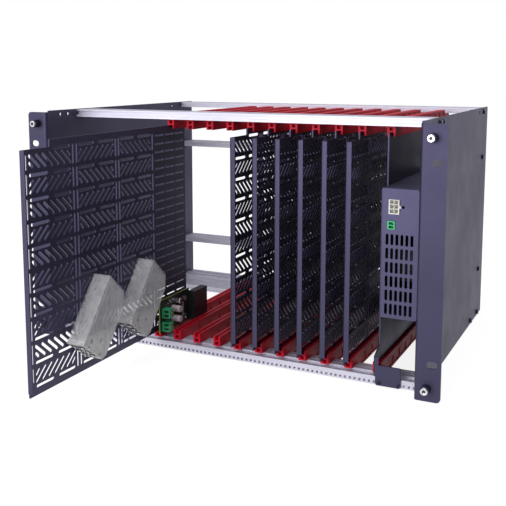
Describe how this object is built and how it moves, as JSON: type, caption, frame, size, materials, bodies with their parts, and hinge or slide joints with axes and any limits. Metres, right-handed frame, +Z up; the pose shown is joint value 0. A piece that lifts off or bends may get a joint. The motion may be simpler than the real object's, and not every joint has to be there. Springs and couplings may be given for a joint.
{
  "type": "subrack card cage",
  "caption": "Open 19-inch subrack with plastic card guides, punched sheet-metal card plates and one card drawn out",
  "frame": {"origin": "centre of the four rack ear slots, on the front face of the ears", "axes": "+X to the right seen from the front, +Y from the front to the back, +Z up"},
  "size_m": [0.4826, 0.517, 0.2658],
  "materials": {
    "frame_paint": "satin",
    "rail": "satin",
    "guide": "satin",
    "card": "satin",
    "psu_paint": "satin",
    "circuit_board": "satin",
    "white_plastic": "satin",
    "green_plastic": "satin",
    "relay_base": "satin",
    "coil": "satin",
    "clear_cover": "gloss",
    "capacitor": "gloss",
    "black_plastic": "satin",
    "bright_metal": "satin",
    "black_screw": "satin"
  },
  "bodies": {
    "cage": {"side_plate_left": "frame_paint", "side_plate_right": "frame_paint", "threaded_strip": "bright_metal", "front_rail_top": "rail", "front_rail_bottom": "rail", "rear_rail_top": "rail", "rear_rail_upper": "rail", "rear_rail_lower": "rail", "rear_rail_bottom": "rail", "guide_support_rail": "rail", "guide_top_1": "guide", "guide_top_2": "guide", "guide_top_3": "guide", "guide_top_4": "guide", "guide_top_5": "guide", "guide_top_6": "guide", "guide_top_7": "guide", "guide_top_8": "guide", "guide_top_9": "guide", "guide_top_10": "guide", "guide_top_11": "guide", "guide_bottom_1": "guide", "guide_bottom_2": "guide", "guide_bottom_3": "guide", "guide_bottom_4": "guide", "guide_bottom_5": "guide", "guide_bottom_6": "guide", "guide_bottom_7": "guide", "guide_bottom_8": "guide", "guide_bottom_9": "guide", "guide_bottom_10": "guide", "guide_bottom_11": "guide", "psu_plate": "card", "psu_case": "psu_paint", "psu_cover": "psu_paint", "psu_board": "circuit_board", "psu_power_socket": "white_plastic", "psu_signal_header": "green_plastic", "rail_screws": "black_screw", "ear_bolts": "bright_metal", "bracket_screws": "black_screw"},
    "card_1_unit": {"card_1": "card", "relay_base_1": "relay_base", "relay_base_2": "relay_base", "relay_coil_1": "coil", "relay_coil_2": "coil", "relay_cover_1": "clear_cover", "relay_cover_2": "clear_cover", "interface_board": "circuit_board", "terminal_blocks": "green_plastic", "capacitors": "capacitor", "rear_connector": "black_plastic", "board_spacers": "bright_metal"},
    "card_5_unit": {"card_5": "card"},
    "card_6_unit": {"card_6": "card"},
    "card_7_unit": {"card_7": "card"},
    "card_8_unit": {"card_8": "card"},
    "card_9_unit": {"card_9": "card"},
    "card_10_unit": {"card_10": "card"}
  },
  "joints": [
    {"name": "card_1_slide", "type": "slide", "parent": "cage", "child": "card_1_unit", "axis": [0, 1, 0], "range_m": [-0.03, 0.202]},
    {"name": "card_5_slide", "type": "slide", "parent": "cage", "child": "card_5_unit", "axis": [0, -1, 0], "range_m": [0, 0.202]},
    {"name": "card_6_slide", "type": "slide", "parent": "cage", "child": "card_6_unit", "axis": [0, -1, 0], "range_m": [0, 0.202]},
    {"name": "card_7_slide", "type": "slide", "parent": "cage", "child": "card_7_unit", "axis": [0, -1, 0], "range_m": [0, 0.202]},
    {"name": "card_8_slide", "type": "slide", "parent": "cage", "child": "card_8_unit", "axis": [0, -1, 0], "range_m": [0, 0.202]},
    {"name": "card_9_slide", "type": "slide", "parent": "cage", "child": "card_9_unit", "axis": [0, -1, 0], "range_m": [0, 0.202]},
    {"name": "card_10_slide", "type": "slide", "parent": "cage", "child": "card_10_unit", "axis": [0, -1, 0], "range_m": [0, 0.202]}
  ]
}
